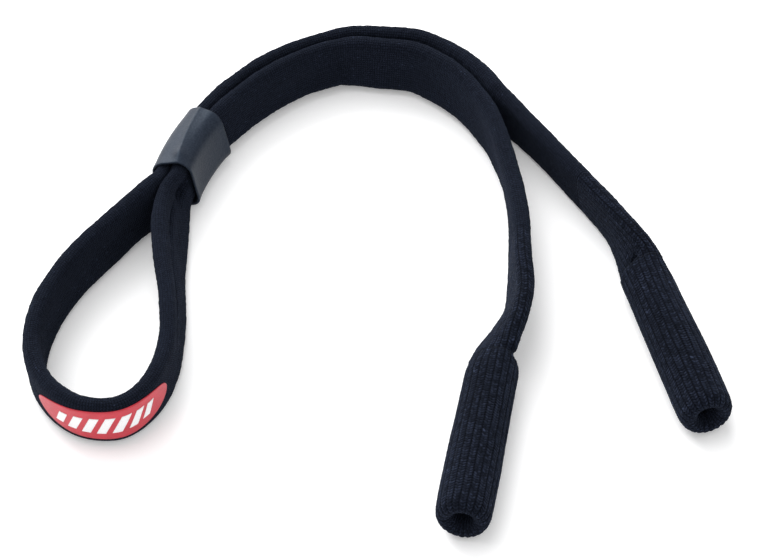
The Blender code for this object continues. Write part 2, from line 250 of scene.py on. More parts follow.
# The two ends of the strap. side is the strand's side of the pair. root, join and neck are
# lengths along the strand from the slider's middle: where its arm bends, where the strap piece
# ends and the neck piece starts, and where the neck bends. sleeve is the axis on the ground, from
# neck to mouth. notch is the side that the sleeve's sharp shoulder is on, its place from the
# neck's end and the sleeve's radius there.
ENDS = {
    "left": {
        "side": -1,
        "arm": LEFT_ARM,
        "root": (110.0, 134.0),
        "join": 155.0,
        "neck": (176.0, 190.0),
        "sleeve": ((30.3, -33.4), (21.1, -85.5)),
        "notch": (1, -0.4, 6.95),
        "dents": ((56.0, 0.75, 1.4, 0.20, 0.70), (44.0, 0.78, 7.0, 0.06, 0.25)),
        "seed": 21,
    },
    "right": {
        "side": 1,
        "arm": RIGHT_ARM,
        "root": (118.0, 142.0),
        "join": 155.0,
        "neck": (168.0, 180.0),
        "sleeve": ((71.6, -1.5), (85.5, -51.4)),
        "notch": (-1, -1.4, 6.75),
        "dents": ((92.0, 0.72, 8.0, 0.05, 0.25), (126.0, 0.70, 9.0, 0.06, 0.30)),
        "seed": 31,
    },
}
LOOP_SEED = 11

# The label on the loop's front: its place as a part of the loop's length, its outline (a rounded
# oval), how far its middle is above the strap's, its gap from the strap, how far round it the
# knitting is calm (along the loop, and round its section), and its white bars.
LABEL_PLACE = 0.533
LABEL_LENGTH = 37.0
LABEL_HEIGHT = 11.7
LABEL_SQUARENESS = 2.6
LABEL_RAISE = 0.7
LABEL_THICKNESS = 0.2
LABEL_LIFT = 0.10
CALM_REACH = 24.0
CALM_EDGES = (0.27, 0.20)
BARS = 7
BAR_PITCH = 3.5
BAR_WIDTH = 2.1
BAR_HEIGHT = 6.4
BAR_SHORTENING = 0.9
BAR_SLANT = 0.35
INK_RAISE = 0.10
INK_DEPTH = 0.05


# ---------------------------------------------------------------- shaders

class Shader:
    """A Principled material with a few helpers that add and join nodes."""

    def __init__(self, name, colour, roughness):
        self.material = bpy.data.materials.new(name)
        self.material.use_nodes = True
        self.tree = self.material.node_tree
        self.surface = self.tree.nodes["Principled BSDF"]
        self.surface.inputs["Base Color"].default_value = (*colour, 1.0)
        self.surface.inputs["Roughness"].default_value = roughness

    def node(self, kind, **settings):
        """A new node of a kind, with its settings."""
        made = self.tree.nodes.new("ShaderNode" + kind)
        for key, value in settings.items():
            setattr(made, key, value)
        return made

    def feed(self, socket, value):
        """Join a value to a socket: another node's output, or a number or colour to set."""
        if isinstance(value, bpy.types.NodeSocket):
            self.tree.links.new(value, socket)
        else:
            socket.default_value = value

    def give(self, name, value):
        """Feed one of the surface's inputs."""
        self.feed(self.surface.inputs[name], value)

    def math(self, operation, *values):
        """The result of a math node on some values."""
        made = self.node("Math", operation=operation)
        for socket, value in zip(made.inputs, values):
            self.feed(socket, value)
        return made.outputs[0]

    def noise(self, vector, scale, detail):
        """Noise from 0 to 1."""
        made = self.node("TexNoise")
        self.feed(made.inputs["Vector"], vector)
        made.inputs["Scale"].default_value = scale
        made.inputs["Detail"].default_value = detail
        return made.outputs["Fac"]

    def scaled(self, vector, scale):
        """A vector times another."""
        made = self.node("VectorMath", operation="MULTIPLY")
        self.feed(made.inputs[0], vector)
        made.inputs[1].default_value = scale
        return made.outputs[0]

    def stitches(self):
        """The UV map, which counts wales or ribs one way and courses the other."""
        return self.node("UVMap", uv_map="stitches").outputs["UV"]

    def split(self, vector):
        """A vector's X and Y."""
        made = self.node("SeparateXYZ")
        self.feed(made.inputs[0], vector)
        return made.outputs["X"], made.outputs["Y"]

    def ramp(self, factor, *stops):
        """A colour ramp through stops of position and colour."""
        made = self.node("ValToRGB")
        elements = made.color_ramp.elements
        while len(elements) < len(stops):
            elements.new(0.5)
        for element, (position, colour) in zip(elements, stops):
            element.position = position
            element.color = (*colour, 1.0)
        self.feed(made.inputs["Fac"], factor)
        return made.outputs["Color"]

    def bump(self, *layers):
        """Stack height layers, each with its depth in millimetres, on the surface's normal."""
        normal = None
        for height, depth in layers:
            made = self.node("Bump")
            made.inputs["Distance"].default_value = depth * MM
            self.feed(made.inputs["Height"], height)
            if normal:
                self.feed(made.inputs["Normal"], normal)
            normal = made.outputs["Normal"]
        self.give("Normal", normal)


def knit_material(name, depth, even, gap_shade_colour, top_colour):
    """Plain knitting: each wale is a row of V stitches. The UV map counts wales and courses.

    depth is in millimetres. even is 1 for fine regular knitting and 0 for knitting whose
    stitches differ a lot.
    """
    shader = Shader(name, top_colour, 0.95)
    stitches = shader.stitches()
    wales, courses = shader.split(stitches)
    drift = shader.noise(shader.scaled(stitches, (0.30, 0.12, 1.0)), 1.0, 2.0)
    sway = shader.math("SUBTRACT", drift, 0.5)
    wale = shader.math("MULTIPLY_ADD", sway, 0.3, wales)

    # across is 0 in the middle of a wale, and its two legs meet there in a V
    across = shader.math("SUBTRACT", shader.math("FRACT", wale), 0.5)
    across = shader.math("ABSOLUTE", across)
    leg = shader.math("SINE", shader.math("MULTIPLY", across, 2 * math.pi))
    leg = shader.math("MULTIPLY_ADD", shader.math("MAXIMUM", leg, 0.0), 0.4, 0.6)
    groove = shader.math("POWER", shader.math("MULTIPLY", across, 2.0), 4.0)
    slant = shader.math("MULTIPLY_ADD", across, 1.5 - 0.5 * even, courses)
    slant = shader.math("MULTIPLY_ADD", sway, 1.6, slant)

    # each leg of each stitch has its own height and brightness
    cell = shader.node("CombineXYZ")
    shader.feed(cell.inputs[0], shader.math("FLOOR", shader.math("MULTIPLY", wale, 2.0)))
    shader.feed(cell.inputs[1], shader.math("FLOOR", slant))
    chance = shader.node("TexWhiteNoise", noise_dimensions="2D")
    shader.feed(chance.inputs["Vector"], cell.outputs[0])
    chance = chance.outputs["Value"]

    course = shader.math("SINE", shader.math("MULTIPLY", shader.math("FRACT", slant), math.pi))
    groove = shader.math("MULTIPLY", groove, shader.math("MULTIPLY_ADD", chance, 0.8, 0.35))
    leg = shader.math("MULTIPLY", leg, shader.math("SUBTRACT", 1.0, groove))
    stitch = shader.math("MULTIPLY", leg, shader.math("MULTIPLY_ADD", course, 0.8, 0.2))
    own = shader.math("MULTIPLY_ADD", chance, 0.9 - 0.4 * even, 0.45 + 0.25 * even)
    stitch = shader.math("MULTIPLY", stitch, own)

    # fibres in the stitches, and slow changes of tone along the strap
    fibre = shader.noise(shader.scaled(stitches, (3.4, 4.5, 1.0)), 1.0, 4.0)
    tone = shader.noise(shader.scaled(stitches, (0.10, 0.03, 1.0)), 1.0, 2.0)
    rough = shader.math("SUBTRACT", fibre, 0.5)
    shade = shader.math("MULTIPLY_ADD", rough, 1.0 - 0.4 * even, stitch)
    shade = shader.math("MULTIPLY_ADD", shader.math("SUBTRACT", tone, 0.5), 0.3, shade)

    # a few stitches catch the light
    speck = shader.math("MULTIPLY", shader.math("GREATER_THAN", chance, 0.996), 0.6)
    shade = shader.math("MULTIPLY_ADD", speck, leg, shade)
    # the colour follows the stitches' height: painted shade in the gaps, and crowns lightened
    # partly by fibre tone and partly by painted highlight
    shader.give("Base Color", shader.ramp(
        shader.math("MULTIPLY", shade, 0.65), (0.02, gap_shade_colour), (0.36, top_colour),
        (0.64, [2.0 * c for c in top_colour]), (1.0, [4.6 * c for c in top_colour])
    ))
    shader.bump((stitch, depth), (fibre, 0.6 * depth))
    shader.give("Specular IOR Level", 0.04)
    shader.give("Sheen Weight", 0.055)
    shader.give("Sheen Roughness", 0.45)
    shader.give("Sheen Tint", (0.50, 0.64, 1.0, 1.0))
    return shader.material


def rubber_material():
    """Satin moulded rubber with a fine grain and a faint mottle."""
    shader = Shader("slider_rubber", (0.016, 0.020, 0.030), 0.42)
    place = shader.node("TexCoord").outputs["Object"]
    grain = shader.noise(place, 5200.0, 3.0)
    mottle = shader.noise(place, 1900.0, 2.0)
    tone = shader.noise(place, 160.0, 3.0)
    blend = shader.math("MULTIPLY_ADD", mottle, 0.7, shader.math("MULTIPLY", tone, 0.3))
    shader.give("Base Color", shader.ramp(
        blend, (0.3, (0.010, 0.014, 0.023)), (0.7, (0.024, 0.030, 0.044))
    ))
    shader.give("Roughness", shader.math("MULTIPLY_ADD", tone, 0.16, 0.36))
    shader.bump((grain, 0.025), (mottle, 0.06), (tone, 0.10))
    shader.give("Specular IOR Level", 0.15)
    shader.give("Specular Tint", (0.56, 0.76, 1.0, 1.0))
    return shader.material


def film_material():
    """Red heat-set film: satin, with the knitting pressed faintly through it."""
    shader = Shader("label_film", (0.52, 0.018, 0.036), 0.50)
    place = shader.stitches()
    tone = shader.noise(place, 0.35, 3.0)
    weave = shader.noise(place, 4.0, 2.0)
    shader.give("Base Color", shader.ramp(
        tone, (0.3, (0.45, 0.014, 0.030)), (0.7, (0.55, 0.021, 0.043))
    ))
    shader.give("Roughness", shader.math("MULTIPLY_ADD", weave, 0.2, 0.34))
    shader.bump((weave, 0.05))
    return shader.material


def ink_material():
    """White screen ink, a little worn in places."""
    shader = Shader("label_ink", (0.82, 0.82, 0.83), 0.5)
    wear = shader.noise(shader.stitches(), 2.5, 4.0)
    shader.give("Base Color", shader.ramp(
        wear, (0.30, (0.70, 0.62, 0.63)), (0.45, (0.84, 0.84, 0.85))
    ))
    shader.bump((wear, 0.03))
    return shader.material


def thread_material():
    """Spun sewing thread, with its twist."""
    shader = Shader("thread", (0.006, 0.008, 0.014), 0.85)
    twist = shader.math("ADD", *shader.split(shader.stitches()))
    ply = shader.math("ABSOLUTE", shader.math("SINE", shader.math("MULTIPLY", twist, math.pi)))
    # painted shade: the colour darkens into the grooves between the plies
    shader.give("Base Color", shader.ramp(
        ply, (0.0, (0.0015, 0.002, 0.0035)), (1.0, (0.009, 0.012, 0.020))
    ))
    shader.bump((ply, 0.05))
    shader.give("Specular IOR Level", 0.1)
    return shader.material


# ---------------------------------------------------------------- lines

def smoothstep(value, low, high):
    """0 at low, 1 at high, and a smooth change between them."""
    t = np.clip((value - low) / (high - low), 0, 1)
    return t * t * (3 - 2 * t)


def reach_along(points):
    """The length along a line of points, at each of them."""
    steps = np.linalg.norm(np.diff(points, axis=0), axis=1)
    return np.concatenate([[0], np.cumsum(steps)])


def sampled(at, reach, values):
    """Rows of values that are known at some lengths, read at other lengths."""
    return np.stack([np.interp(at, reach, column) for column in values.T], axis=-1)


def softened(values, count, mode):
    """Values smoothed over a count of neighbours. mode says how they go on past their ends."""
    kernel = np.hanning(count) / np.hanning(count).sum()
    return np.convolve(np.pad(values, count // 2, mode=mode), kernel, "valid")


def leaning(left, lean):
    """The directions across and up a section that leans to its left by an angle in radians."""
    return left * np.cos(lean) - UP * np.sin(lean), UP * np.cos(lean) + left * np.sin(lean)


# ---------------------------------------------------------------- routes

def smooth_route(points, step):
    """Points evenly spaced along a smooth curve through a route's points."""
    points = np.array(points, float)
    ends = (2 * points[0] - points[1], 2 * points[-1] - points[-2])
    points = np.vstack([ends[0], points, ends[1]])
    chord = np.linalg.norm(np.diff(points[:, :2], axis=0), axis=1)
    t = np.linspace(0, 1, 40, endpoint=False)[:, None]
    fine = []
    for i in range(1, len(points) - 2):
        before, length, after = chord[i - 1:i + 2]
        leave = (points[i + 1] - points[i - 1]) * length / (length + before)
        arrive = (points[i + 2] - points[i]) * length / (length + after)
        fine.append(
            points[i] * (1 + 2 * t) * (1 - t) ** 2 + leave * t * (1 - t) ** 2
            + points[i + 1] * t * t * (3 - 2 * t) - arrive * t * t * (1 - t)
        )
    fine = np.vstack([*fine, points[-2:-1]])
    reach = reach_along(fine[:, :2])
    at = np.linspace(0, reach[-1], max(2, round(reach[-1] / step) + 1))
    return sampled(at, reach, fine)


class Strap:
    """A stretch of strap as rows.

    Each row has its middle, its directions across and up, its half sizes and its length along
    the stretch.
    """

    def __init__(self, route):
        x, y, lean, size, lift = route.T
        heading = np.gradient(np.column_stack([x, y]), axis=0)
        heading /= np.linalg.norm(heading, axis=1)[:, None]
        left = np.column_stack([-heading[:, 1], heading[:, 0], np.zeros_like(x)])
        self.across, self.up = leaning(left, np.radians(lean)[:, None])
        self.half_height = STRAP_WIDTH * size / 2
        self.half_thickness = STRAP_THICKNESS * size / 2
        self.middle = np.column_stack([x, y, lift + strap_height(lean, size)])
        self.length = reach_along(self.middle)

    def cut(self, start, end):
        """The rows between two lengths, with a row at each end, as a new strap."""
        inside = self.length[(self.length > start + 0.05) & (self.length < end - 0.05)]
        at = np.concatenate([[start], inside, [end]])
        part = object.__new__(Strap)
        for name in ("across", "up", "middle"):
            setattr(part, name, sampled(at, self.length, getattr(self, name)))
        for name in ("half_height", "half_thickness"):
            setattr(part, name, np.interp(at, self.length, getattr(self, name)))
        part.length = at
        return part


def strap_height(lean, size):
    """The height of a section's middle above its lowest point."""
    round_part = STRAP_THICKNESS * size / 2
    straight = STRAP_WIDTH * size / 2 - round_part
    return straight * np.cos(np.radians(lean)) + round_part


def slider_middle():
    """The height of the slider's middle."""
    low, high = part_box("slider")
    return (low.z + high.z) / 2 / MM


def travel_centre():
    """The centre of the slider's travel."""
    joint = next(joint for joint in frame["joints"] if joint["name"] == "slider_travel")
    return np.array(joint["pos_m"]) / MM


def travel_point(angle, radius, size, sag):
    """A route's point on or near the slider's travel, lower by sag than in the slider."""
    x, y = travel_centre()[:2]
    turn = math.radians(angle)
    lift = slider_middle() - sag - strap_height(TRAVEL_LEAN, size)
    return x + radius * math.cos(turn), y + radius * math.sin(turn), TRAVEL_LEAN, size, lift


def travel_route():
    """The doubled strap's route along the slider's travel, from the slider's middle."""
    route = []
    for angle in np.linspace(SLIDER_ANGLE, TRAVEL_END_ANGLE, TRAVEL_POINTS):
        radius = TRAVEL_RADIUS + np.interp(angle, *TRAVEL_WANDER)
        away = math.radians(SLIDER_ANGLE - angle) * TRAVEL_RADIUS
        swell = smoothstep(away, SLIDER_LENGTH / 2 - 1.0, SLIDER_LENGTH / 2 + 6.0)
        size = SQUEEZE + (RELAXED - SQUEEZE) * swell
        route.append(travel_point(angle, radius, size, SAG * swell))
    return route


def loop_strap():
    """The loop, whose ends come together in the slider's middle."""
    half_angle = math.degrees(SLIDER_LENGTH / 2 / TRAVEL_RADIUS)
    inside = smooth_route([
        travel_point(SLIDER_ANGLE + half_angle * part, TRAVEL_RADIUS + 0.5 * part, SQUEEZE, 0.0)
        for part in (1.15, 1.0, 0.5, 0.0)
    ], ROUTE_STEP)
    outer = beside(inside, 1)[::-1].copy()
    outer[:, 2] *= -1
    route = np.vstack([outer, np.array(LOOP, float), beside(inside, -1)])
    return Strap(smooth_route(route, ROW_STEP))


def beside(route, side):
    """A route moved across to one strand of the pair: side is +1 or -1."""
    rows = Strap(route)
    gap = PAIR_GAP + PARTING * smoothstep(rows.length, SLIDER_LENGTH / 2, 1.5 * SLIDER_LENGTH)
    shift = side * (2 * rows.half_thickness + gap) / 2
    middle = rows.middle + rows.across * shift[:, None]
    lean, size = route[:, 2], route[:, 3]
    return np.column_stack([middle[:, :2], lean, size, middle[:, 2] - strap_height(lean, size)])


# ---------------------------------------------------------------- meshes

def enclosed(mesh, points):
    """Six times the volume inside a mesh, which is negative when the mesh is inside out."""
    mesh.calc_loop_triangles()
    corners = np.empty(len(mesh.loop_triangles) * 3, np.int32)
    mesh.loop_triangles.foreach_get("vertices", corners)
    first, second, third = points[corners].reshape(-1, 3, 3).transpose(1, 0, 2)
    return np.sum(first * np.cross(second, third))


def new_piece(name, points, faces, uv, material):
    """A smooth-shaded mesh object from points in millimetres, faces, and a UV per corner."""
    points = np.array(points)
    points[:, 2] = np.maximum(points[:, 2], REST)
    mesh = bpy.data.meshes.new(name)
    mesh.vertices.add(len(points))
    mesh.vertices.foreach_set("co", (points * MM).astype(np.float32).ravel())
    sizes = np.array([len(face) for face in faces])
    corners = np.concatenate([np.asarray(face) for face in faces])
    mesh.loops.add(len(corners))
    mesh.loops.foreach_set("vertex_index", corners.astype(np.int32))
    mesh.polygons.add(len(sizes))
    starts = np.concatenate([[0], np.cumsum(sizes)[:-1]])
    mesh.polygons.foreach_set("loop_start", starts.astype(np.int32))
    mesh.update(calc_edges=True)
    layer = mesh.uv_layers.new(name="stitches")
    layer.data.foreach_set("uv", np.asarray(uv, np.float32).ravel())
    mesh.validate()
    if enclosed(mesh, points) < 0:
        mesh.flip_normals()
    mesh.shade_smooth()
    mesh.materials.append(material)
    piece = bpy.data.objects.new(name, mesh)
    bpy.context.scene.collection.objects.link(piece)
    return piece


def tube(name, grid, u, v, material, closed=False):
    """A lofted skin over rows of points that run round it, capped or joined end to start.

    u has one value per column and one more for the seam, v one per row and, if the skin is
    joined end to start, one more.
    """
    rows, columns = grid.shape[:2]
    row = np.arange(rows if closed else rows - 1)
    here = row[:, None] * columns
    after = (row[:, None] + 1) % rows * columns
    column = np.arange(columns)[None, :]
    nearby = (column + 1) % columns
    faces = np.stack([here + column, here + nearby, after + nearby, after + column], axis=-1)
    near_v, far_v = v[row][:, None], v[row + 1][:, None]
    near_u, far_u = u[:-1][None, :], u[1:][None, :]
    spread = np.zeros(faces.shape[:2])
    uv = np.stack([
        np.stack([near_u + spread, near_v + spread], axis=-1),
        np.stack([far_u + spread, near_v + spread], axis=-1),
        np.stack([far_u + spread, far_v + spread], axis=-1),
        np.stack([near_u + spread, far_v + spread], axis=-1),
    ], axis=2)
    points = grid.reshape(-1, 3)
    faces = list(faces.reshape(-1, 4))
    uv = uv.reshape(-1, 2)
    if not closed:
        for end, turned in ((0, -1), (rows - 1, 1)):
            centre = len(points)
            points = np.vstack([points, grid[end].mean(axis=0)])
            ring = end * columns + np.arange(columns)
            fan = np.column_stack([ring, np.roll(ring, -1), np.full(columns, centre)])[:, ::turned]
            faces.extend(fan)
            uv = np.vstack([uv, np.zeros((3 * columns, 2)) + (u[0], v[end])])
    return new_piece(name, points, faces, uv, material)


def stadium(count):
    """Unit outline of the strap: for each column, its part of the straight and its normal.

    The columns are spaced evenly round the section, from the middle of its lower edge.
    """
    radius = STRAP_THICKNESS / 2
    straight = STRAP_WIDTH - STRAP_THICKNESS
    quarter = math.pi * radius / 2
    reach = np.arange(count) / count * (2 * straight + 4 * quarter)
    marks = np.cumsum([0, quarter, straight, 2 * quarter, straight, quarter])
    turn = np.interp(reach, marks, np.radians([-90, 0, 0, 180, 180, 270]))
    along = np.interp(reach, marks, [-1, -1, 1, 1, -1, -1])
    return along, np.cos(turn), np.sin(turn)


def strap_grid(strap, columns, relief):
    """Points round each row of a strap, pushed out by relief(length, column) in millimetres."""
    along, out, rise = stadium(columns)
    depth = relief(strap.length[:, None], np.arange(columns)[None, :])
    half_thickness = strap.half_thickness[:, None]
    straight = strap.half_height[:, None] - half_thickness
    sideways = half_thickness * out + depth * out
    upwards = straight * along + half_thickness * rise + depth * rise
    return (
        strap.middle[:, None]
        + strap.across[:, None] * sideways[..., None]
        + strap.up[:, None] * upwards[..., None]
    )


def lattice(length, turns, step, cells, seed):
    """Smooth noise from -1 to 1 over lengths and turns round the strap (0 to 1, wrapping)."""
    values = np.random.default_rng(seed)
    rows = int(np.max(length) / step) + 3
    heights = values.uniform(-1, 1, (rows, cells))
    at = length / step
    row = np.floor(at).astype(int)
    down = smoothstep(at - row, 0, 1)
    across = turns * cells
    column = np.floor(across).astype(int) % cells
    over = smoothstep(across - np.floor(across), 0, 1)
    after = (column + 1) % cells
    near = heights[row, column] * (1 - over) + heights[row, after] * over
    far = heights[row + 1, column] * (1 - over) + heights[row + 1, after] * over
    return near * (1 - down) + far * down


def unevenness(length, turns, seed):
    """The small and the slow unevenness of stuffed knitting, in millimetres."""
    small, step, cells = SMALL_UNEVENNESS
    slow, slow_step, slow_cells = SLOW_UNEVENNESS
    fine = small * lattice(length, turns, step, cells, seed)
    return fine + slow * lattice(length, turns, slow_step, slow_cells, seed + 1)


def dented(length, turns, dents):
    """Soft hollows, in the form of LOOP_DENTS."""
    depth = 0.0 * length * turns
    for place, around, span, width, hollow in dents:
        place = place if place > 0 else np.max(length) + place
        away = (turns - around + 0.5) % 1 - 0.5
        depth = depth - hollow * np.exp(-((length - place) / span) ** 2 - (away / width) ** 2)
    return depth


def jersey_relief(columns, seed, dents, calm):
    """The relief of the strap's knitting: wales, unevenness and dents, calm under the label.

    calm is the length that the label's middle is at, if there is a label.
    """
    def relief(length, column):
        turns = column / columns
        wale = WALE_RELIEF * np.cos(2 * math.pi * (turns * STRAP_WALES - 0.5))
        rough = unevenness(length, turns, seed)
        if calm:
            near = smoothstep(np.abs(length - calm), CALM_REACH, LABEL_LENGTH / 2)
            rough = rough * (1 - near * smoothstep(np.abs(turns - 0.75), *CALM_EDGES))
            wale = wale * (1 - 0.6 * near)
        return wale + rough + dented(length, turns, dents)
    return relief


def rib_shape(turns, length):
    """Rounded ribs with narrow jagged grooves, each a row of V stitches, of unit depth."""
    across = turns * SLEEVE_RIBS
    jag = 0.10 * np.sin(2 * math.pi * length / SLEEVE_COURSE)
    jag = jag + 0.10 * lattice(length, turns, 1.3, SLEEVE_RIBS, 5)
    groove = np.abs(np.sin(math.pi * (across + jag))) ** 0.6 - 0.76
    side = np.abs(across % 1 - 0.5)
    stitch = np.sin(2 * math.pi * (length / SLEEVE_COURSE + 1.5 * side))
    return groove + 0.2 * stitch


# ---------------------------------------------------------------- pieces

def finish_piece(piece, slot, *nodes):
    """Hide the CAD parts of the nodes that a piece stands for, and give the piece back; slot is
    not used.
    """
    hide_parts(*nodes)
    return piece


def make_strap_piece(name, strap, seed, material, dents, calm=None):
    """A stretch of the flat strap as one skin."""
    columns = STRAP_WALES * WALE_POINTS
    grid = strap_grid(strap, columns, jersey_relief(columns, seed, dents, calm))
    u = np.arange(columns + 1) / WALE_POINTS
    return tube(name, grid, u, strap.length / STRAP_COURSE, material)


def sleeve_profile(tip):
    """Place along the sleeve's axis and radius, from its shoulder round the mouth to its bore."""
    cuff_end = tip - CUFF_LENGTH
    bore_end = tip - BORE_DEPTH
    return np.array([
        (SLEEVE_START, SLEEVE_RADIUS), (tip - MOUTH_LENGTH, SLEEVE_RADIUS + 0.1),
        (tip - 3.2, SLEEVE_RADIUS), (tip - 1.7, 6.8), (tip - 0.6, 6.1), (tip - 0.05, 5.2),
        (tip - 0.15, 4.3), (tip - 0.8, 3.4), (tip - 1.8, 2.75), (tip - 3.4, 2.5),
        (tip - 9.0, 2.7), (cuff_end + 0.5, 3.0), (cuff_end, 3.6),
        (cuff_end - 0.2, SLEEVE_BORE - 0.6), (cuff_end - 1.0, SLEEVE_BORE),
        (bore_end + 2.0, SLEEVE_BORE), (bore_end + 0.3, SLEEVE_BORE - 1.0),
        (bore_end, SLEEVE_BORE - 2.5),
    ])


def fine_profile(tip):
    """The profile as rows, fine outside and coarse in the bore: length, place and radius."""
    knots = sleeve_profile(tip)
    reach = reach_along(knots)

    # the mouth bends round between the fourth and the tenth knot
    mouth, throat = reach[3], reach[9]
    fine = np.concatenate([
        np.arange(NECK_STEP, mouth, SLEEVE_STEP), np.arange(mouth, throat, MOUTH_STEP),
        np.linspace(throat, reach[-1], BORE_ROWS),
    ])
    smooth = np.arange(0, reach[-1] + 0.1, 0.1)
    station, radius = (
        np.interp(fine, smooth, softened(np.interp(smooth, reach, knot), 11, "edge"))
        for knot in knots.T
    )
    return fine, station, radius


def sleeve_relief(lengths, angle, neck_end, ribs_from, mouth_at, seed):
    """The relief of the neck and sleeve: ribs, unevenness and the mouth's puckers."""
    turns = np.arange(len(angle)) / len(angle)

    # the ribs grow out of the neck, get shallower round the mouth and more so inside it
    growth = smoothstep(lengths, ribs_from, neck_end + 4.0)
    near_mouth = smoothstep(lengths, mouth_at, mouth_at + 4.0)
    depth = (NECK_RIB_DEPTH + SLEEVE_RIB_DEPTH * growth) * (1 - 0.4 * near_mouth)
    depth *= 1 - 0.6 * smoothstep(lengths, mouth_at + 7.5, mouth_at + 10.0)
    relief = rib_shape(turns[None, :], lengths[:, None]) * depth[:, None]
    steady = 1 - 0.6 * smoothstep(lengths, neck_end - 6.0, neck_end + 6.0)
    relief += unevenness(lengths[:, None], turns[None, :], seed) * steady[:, None]

    lobes = 0.5 * np.cos(2 * angle + 0.6) + 0.4 * np.cos(3 * angle - 1.1)
    lobes += 0.25 * np.cos(5 * angle + 2.0)
    pucker = np.exp(-((lengths - mouth_at - 10.0) / 3.0) ** 2)
    inside = smoothstep(lengths, mouth_at + 14.0, mouth_at + 20.0)
    return relief + PUCKER_DEPTH * pucker[:, None] * lobes[None, :] * (1 - inside[:, None])


def make_end(name, strand, settings, material):
    """The neck and the rib-knit sleeve that it swells into, as two pieces sharing one ring.

    Also gives the rings of points that the neck seam and the cuff's hem are sewn along.
    """
    notch_side, notch_at, slim = settings["notch"]
    columns = SLEEVE_RIBS * RIB_POINTS
    angle = 2 * math.pi * (np.arange(columns) / columns) - math.pi / 2
    neck = strand.cut(settings["join"], strand.length[-1])
    start, end = (np.array([x, y, SLEEVE_RADIUS]) for x, y in settings["sleeve"])
    tip = np.linalg.norm(end - start)
    axis = (end - start) / tip

    # the sleeve's spokes, turned so that its ribs carry on from the neck's leaning section
    left = np.cross(UP, axis)
    across, rise = leaning(left, math.atan2(neck.up[-1] @ left, neck.up[-1] @ UP))
    spokes = across * np.cos(angle)[:, None] + rise * np.sin(angle)[:, None]
    facing = smoothstep(spokes @ left * notch_side, -0.15, 0.9)

    # flat rows along the neck and on past its end, and round rows beside them
    gap = (start - neck.middle[-1]) @ axis
    past = np.arange(NECK_STEP, gap + SLEEVE_START + 0.01, NECK_STEP)
    at = np.concatenate([neck.length - neck.length[-1], past])
    flat = strap_grid(neck, columns, lambda length, column: 0.0 * length * column)
    flat = np.concatenate([flat, flat[-1:] + axis * past[:, None, None]])
    round_rows = start + axis * (at - gap)[:, None, None] + spokes * slim
    round_rows[..., 2] -= SLEEVE_RADIUS - slim

    # the notch side swells at once, as a round shoulder, and the other side slowly
    here = at[:, None]
    shoulder = np.clip((here - notch_at) / SHOULDER_LENGTH, 0, 1)
    shoulder = np.sqrt(1 - (1 - shoulder) ** 2)
    slope = smoothstep(here, SLOPE_START, gap + SLEEVE_START)
    swell = slope + (shoulder - slope) * facing
    grid = flat * (1 - swell[..., None]) + round_rows * swell[..., None]

    # the rest of the sleeve gains its full radius slowly, and lies on the ground all the way
    fine, station, radius = fine_profile(tip)
    slimming = (SLEEVE_RADIUS - slim) * (1 - smoothstep(fine, 0.0, SLIM_LENGTH))
    radius = radius - slimming
    sleeve = start + axis * station[:, None, None] + spokes * radius[:, None, None]
    sleeve[..., 2] -= slimming[:, None]
    grid = np.concatenate([grid, sleeve])
    lengths = np.concatenate([at, at[-1] + fine]) + neck.length[-1]

    around = np.roll(grid, -1, axis=1) - np.roll(grid, 1, axis=1)
    normal = np.cross(around, np.gradient(grid, axis=0))
    normal /= np.linalg.norm(normal, axis=-1, keepdims=True)

    mouth_at = lengths[len(at)] + tip - MOUTH_LENGTH
    relief = sleeve_relief(
        lengths, angle, neck.length[-1], settings["neck"][0], mouth_at, settings["seed"]
    )
    crease_at = notch_at - 0.3
    relief[:len(at)] -= CREASE_DEPTH * np.exp(-(here - crease_at) ** 2) * facing ** 3
    grid = grid + normal * relief[..., None]

    u = np.arange(columns + 1) / RIB_POINTS
    v = lengths / SLEEVE_COURSE
    split = len(neck.length) - 1
    neck_piece = tube(f"{name}_neck_knit", grid[:split + 1], u, v[:split + 1], material)
    sleeve_piece = tube(f"{name}_sleeve_knit", grid[split:], u, v[split:], material)

    # the neck seam runs near the crease, and the hem round the turned-in end of the cuff
    seam_row = len(at) - 1 - np.argmin(np.abs(at[::-1] - max(crease_at, 0.4)))
    hem_row = len(at) + np.argmin(np.abs(fine - (tip - MOUTH_LENGTH + HEM_REACH)))
    rings = [(grid[row], normal[row]) for row in (seam_row, hem_row)]
    return neck_piece, sleeve_piece, rings


def sewn_ring(name, ring, along, material):
    """An overcast thread that zigzags round a ring of surface points."""
    points, normal = ring
    count = len(points)
    zigzag = ZIGZAG_REACH * np.sin(np.arange(count) * 2 * math.pi / ZIGZAG_POINTS)
    route = points - normal * 0.02 + along * zigzag[:, None]
    ahead = np.roll(route, -1, axis=0) - np.roll(route, 1, axis=0)
    ahead /= np.linalg.norm(ahead, axis=1)[:, None]
    side = np.cross(normal, ahead)
    side /= np.linalg.norm(side, axis=1)[:, None]
    turn = np.linspace(0, 2 * math.pi, THREAD_SIDES, endpoint=False)[None, :, None]
    grid = route[:, None] + THREAD_RADIUS * (
        normal[:, None] * np.cos(turn) + side[:, None] * np.sin(turn)
    )
    u = np.arange(THREAD_SIDES + 1) / 4
    return tube(name, grid, u, np.arange(count + 1) / 2, material, closed=True)


def slider_section(width, height, radii, count):
    """A rectangle with its own radius at each corner, as evenly spaced points round it."""
    outline = []
    for quarter, ((side, top), radius) in enumerate(zip(
        ((1, 1), (-1, 1), (-1, -1), (1, -1)), radii
    )):
        bend = np.linspace(0, math.pi / 2, 24) + quarter * math.pi / 2
        outline.append(np.column_stack([
            side * (width / 2 - radius) + radius * np.cos(bend),
            top * (height / 2 - radius) + radius * np.sin(bend),
        ]))
    outline = np.vstack([*outline, outline[0][:1]])
    reach = reach_along(outline)
    return sampled(np.linspace(0, reach[-1], count, endpoint=False), reach, outline)


